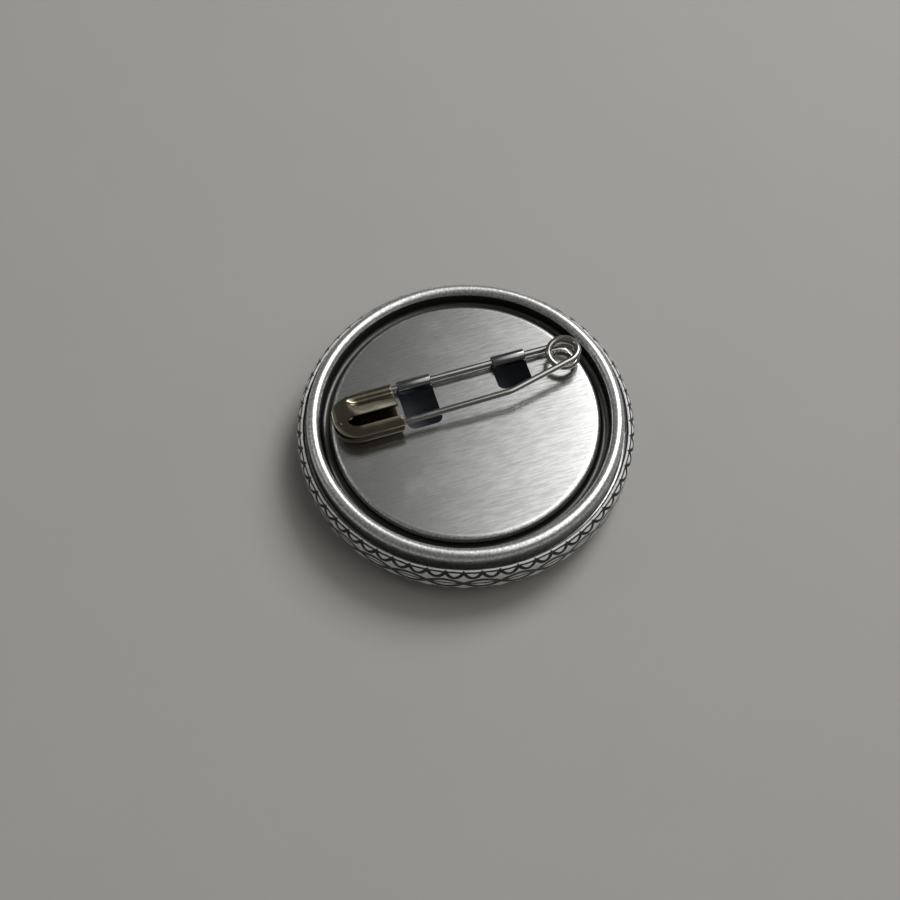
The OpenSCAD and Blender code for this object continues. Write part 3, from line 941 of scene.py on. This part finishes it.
def floor_material(finish):
    """Plain pale floor with a barely seen mottle."""
    material, sketch, shader, given = new_material("Floor")
    mottle = sketch.noise(given["Object"], 60.0, 4.0)
    sketch.fill(shader, {
        "Base Color": sketch.blend(mottle, shade(finish.floor, 1.02), shade(finish.floor, 0.97)),
        "Roughness": 0.75,
        "Normal": sketch.bump(sketch.noise(given["Object"], 2500.0, 3.0), 0.01 * MM),
    })
    return material


# Operators

class BADGE_OT_print(bpy.types.Operator):
    """Make the printed paper that is wrapped over the shell"""

    bl_idname = "badge.print"
    bl_label = "Printed paper"

    def execute(self, context):
        wrap = context.scene.badge_wrap
        paper = wrapped_piece("printed_paper", wrap, wrap.film_t + wrap.layer_gap, wrap.paper_t)
        design = print_material(context.scene.badge_finish, wrap)
        finish_piece(paper, design, "badge", "printed_paper", "artwork_disc")
        return {"FINISHED"}


class BADGE_OT_film(bpy.types.Operator):
    """Make the clear film over the print"""

    bl_idname = "badge.film"
    bl_label = "Clear film"

    def execute(self, context):
        wrap = context.scene.badge_wrap
        film = wrapped_piece("film_wrap", wrap, 0.0, wrap.film_t)
        finish_piece(film, film_material(context.scene.badge_finish), "badge", "film", "clear_film")
        return {"FINISHED"}


class BADGE_OT_shell(bpy.types.Operator):
    """Finish the front shell inside the wrap"""

    bl_idname = "badge.shell"
    bl_label = "Front shell"

    def execute(self, context):
        shell = frame["nodes"]["front_shell"]
        tone = context.scene.badge_finish.shell
        steel = plated_material("Cup steel", tone, "Object", 200.0, 3000.0, 0.7, 0.3)
        shell.data.materials.clear()
        shell.data.materials.append(steel)
        return {"FINISHED"}


class BADGE_OT_back_plate(bpy.types.Operator):
    """Make the pressed back plate with its windows and claws"""

    bl_idname = "badge.back_plate"
    bl_label = "Back plate"

    def execute(self, context):
        scene = context.scene
        plate, wrap, pin = scene.badge_plate, scene.badge_wrap, scene.badge_pin
        wire = HeldLeg()
        top = plate_places(plate, wrap)[0]
        loop = np.concatenate([
            plate_line(plate, wrap, -plate.sheet / 2), plate_line(plate, wrap, plate.sheet / 2)[::-1],
        ])
        piece = piece_from_grid("pressed_plate", revolve(loop, PLATE_STEPS))
        half = plate.claw_w / 2
        cap_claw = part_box("pin_cap")[1].x + plate.cap_claw_gap + half
        coil_claw = coil_middle(pin)[0] - pin.coil_r - wire.r - plate.coil_claw_gap - half
        far = wire.y + wire.r + plate.claw_gap + plate.sheet
        claws = (("cap_claw", cap_claw, plate.cap_window), ("coil_claw", coil_claw, plate.coil_window))
        for name, x, near in claws:
            cutter = window_cutter(name + "_window", plate, x, near, far, top)
            cut = piece.modifiers.new(name, "BOOLEAN")
            cut.operation = "DIFFERENCE"
            cut.solver = "EXACT"
            cut.object = cutter
            settle(piece, math.radians(30))
            bpy.data.objects.remove(cutter)
        tin = tinplate_material(scene.badge_finish, plate, wrap)
        finish_piece(piece, tin, "badge", "tinplate", "back_plate")
        for name, x, _ in claws:
            claw = piece_from_grid(name, claw_grid(plate, wrap, x), ends=True)
            finish_piece(claw, tin, "badge", "tinplate", "back_plate")
        return {"FINISHED"}


class BADGE_OT_pin_wire(bpy.types.Operator):
    """Make the safety pin's held leg and coil, which are one wire"""

    bl_idname = "badge.pin_wire"
    bl_label = "Held leg and coil"

    def execute(self, context):
        path, radii = rounded_start(wire_path(context.scene.badge_pin), HeldLeg().r)
        wire = tube_piece("leg_and_coil", path, radii)
        plating = wire_material(context.scene.badge_finish)
        finish_piece(wire, plating, "pin", "pin_wire", "pin_leg", "pin_coil")
        return {"FINISHED"}


class BADGE_OT_pin_arm(bpy.types.Operator):
    """Make the safety pin's arm with its point"""

    bl_idname = "badge.pin_arm"
    bl_label = "Sharp arm"

    def execute(self, context):
        pin = context.scene.badge_pin
        path = arm_path(pin)
        taper_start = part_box("pin_cap")[1].x + pin.point_out
        share = np.clip((taper_start - path[:, 0]) / (taper_start - path[-1, 0]), 0, 1)
        radii = HeldLeg().r + (pin.tip_r - HeldLeg().r) * share
        arm = tube_piece("sharp_arm", path, radii)
        finish_piece(arm, wire_material(context.scene.badge_finish), None, "pin_wire", "pin_arm")
        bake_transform(arm)
        return {"FINISHED"}


class BADGE_OT_pin_cap(bpy.types.Operator):
    """Make the safety pin's cap: folded sheet with a slot for the arm"""

    bl_idname = "badge.pin_cap"
    bl_label = "Pin cap"

    def execute(self, context):
        pin = context.scene.badge_pin
        cap = piece_from_grid("folded_cap", cap_grid(pin), closed=False)
        sheet = cap.modifiers.new("Sheet", "SOLIDIFY")
        sheet.thickness = pin.cap_t
        sheet.offset = -1.0
        sheet.use_even_offset = True
        edge = cap.modifiers.new("Rolled edge", "BEVEL")
        edge.width = pin.rolled_edge
        edge.segments = 3
        edge.limit_method = "ANGLE"
        edge.angle_limit = math.radians(50)
        settle(cap)
        tone = context.scene.badge_finish.cap
        nickel = plated_material("Cap nickel", tone, "Object", 260.0, 3600.0, 0.11)
        finish_piece(cap, nickel, "pin", "cap_nickel", "pin_cap")
        return {"FINISHED"}


class BADGE_OT_stage(bpy.types.Operator):
    """Set up the floor, the lamps and the camera"""

    bl_idname = "badge.stage"
    bl_label = "Stage"

    def execute(self, context):
        scene = context.scene
        side = np.linspace(-FLOOR_HALF, FLOOR_HALF, 9)
        x, y = np.meshgrid(side, side)
        floor = piece_from_grid("floor", np.stack([x, y, 0 * x - FLOOR_GAP], -1), closed=False)
        floor.data.materials.append(floor_material(scene.badge_finish))
        self.camera(scene, scene.badge_studio)
        self.lamps(scene, scene.badge_studio)
        scene.view_settings.view_transform = "Standard"
        return {"FINISHED"}

    def camera(self, scene, studio):
        """A camera that has the badge's middle on its pixel, at the studio's distance and angles."""
        turn, rise = studio.azimuth, studio.elevation
        back = Vector((math.sin(turn) * math.cos(rise), -math.cos(turn) * math.cos(rise), math.sin(rise)))
        middle = Vector((0.0, 0.0, scene.badge_plate.badge_h - scene.badge_plate.drop))
        half = studio.picture_px / 2
        ray = Vector((studio.middle_x - half, half - studio.middle_y, -studio.focal_px)).normalized()
        straight = (-back).to_track_quat("-Z", "Y")
        swing = ray.rotation_difference(Vector((0.0, 0.0, -1.0)))
        lens = bpy.data.cameras.new("Camera")
        lens.lens = lens.sensor_width * studio.focal_px / studio.picture_px
        lens.clip_start = 0.001
        camera = bpy.data.objects.new("Camera", lens)
        camera.location = middle + back * studio.distance
        camera.rotation_euler = (straight @ swing).to_euler()
        scene.collection.objects.link(camera)
        scene.camera = camera

    def lamps(self, scene, studio):
        """A large soft lamp at the back right, a small one at the back left, a room lit from its right."""
        lamps = (
            ("Key", studio.key, 0.24, (0.275, 0.175, 0.38)),
            ("Fill", studio.fill, 0.08, (-0.30, 0.22, 0.34)),
        )
        for name, power, size, place in lamps:
            light = bpy.data.lights.new(name, "AREA")
            light.energy = power
            light.shape = "DISK"
            light.size = size
            lamp = bpy.data.objects.new(name, light)
            lamp.location = place
            lamp.rotation_euler = (-Vector(place)).to_track_quat("-Z", "Y").to_euler()
            scene.collection.objects.link(lamp)
        world = bpy.data.worlds.new("Room")
        world.use_nodes = True
        sketch = Sketch(world.node_tree)
        way = sketch.add("ShaderNodeTexCoord").outputs["Generated"]
        side = {0: way, 1: BRIGHT_SIDE}
        towards = sketch.add("ShaderNodeVectorMath", side, operation="DOT_PRODUCT").outputs["Value"]
        height = sketch.add("ShaderNodeSeparateXYZ", {0: way}).outputs["Z"]
        bright = sketch.times(sketch.ramp(towards, *SIDE_EDGES), sketch.ramp(height, *HEIGHT_EDGES))
        level = sketch.plus(sketch.times(bright, studio.room_light - studio.room_dark), studio.room_dark)
        room = sketch.add("ShaderNodeBackground", {"Color": ROOM_TONE, "Strength": level})
        sketch.add("ShaderNodeOutputWorld", {"Surface": room.outputs[0]})
        scene.world = world


class BADGE_PT_parts(bpy.types.Panel):
    """Lists the badge's parts"""

    bl_idname = "BADGE_PT_parts"
    bl_label = "Button badge"
    bl_space_type = "VIEW_3D"
    bl_region_type = "UI"
    bl_category = "Badge"

    def draw(self, context):
        for operator in OPERATORS:
            self.layout.operator(operator.bl_idname)
        for group in GROUPS:
            box = self.layout.box()
            settings = getattr(context.scene, group)
            for name in settings.__annotations__:
                box.prop(settings, name)


GROUPS = {
    "badge_wrap": BadgeWrap,
    "badge_plate": BadgePlate,
    "badge_pin": BadgePin,
    "badge_finish": BadgeFinish,
    "badge_studio": BadgeStudio,
}
OPERATORS = (
    BADGE_OT_stage,
    BADGE_OT_print,
    BADGE_OT_film,
    BADGE_OT_shell,
    BADGE_OT_back_plate,
    BADGE_OT_pin_wire,
    BADGE_OT_pin_arm,
    BADGE_OT_pin_cap,
)


def register():
    """Registers the properties, the operators and the panel."""
    for name, group in GROUPS.items():
        bpy.utils.register_class(group)
        setattr(bpy.types.Scene, name, PointerProperty(type=group))
    for kind in OPERATORS + (BADGE_PT_parts,):
        bpy.utils.register_class(kind)


def unregister():
    """Removes what register added."""
    for kind in (BADGE_PT_parts,) + OPERATORS[::-1]:
        bpy.utils.unregister_class(kind)
    for name, group in reversed(GROUPS.items()):
        delattr(bpy.types.Scene, name)
        bpy.utils.unregister_class(group)


def main():
    """Makes the stage and every piece."""
    register()
    for operator in OPERATORS:
        area, name = operator.bl_idname.split(".")
        getattr(getattr(bpy.ops, area), name)()
    bpy.context.view_layer.update()


if __name__ == "__main__":
    main()
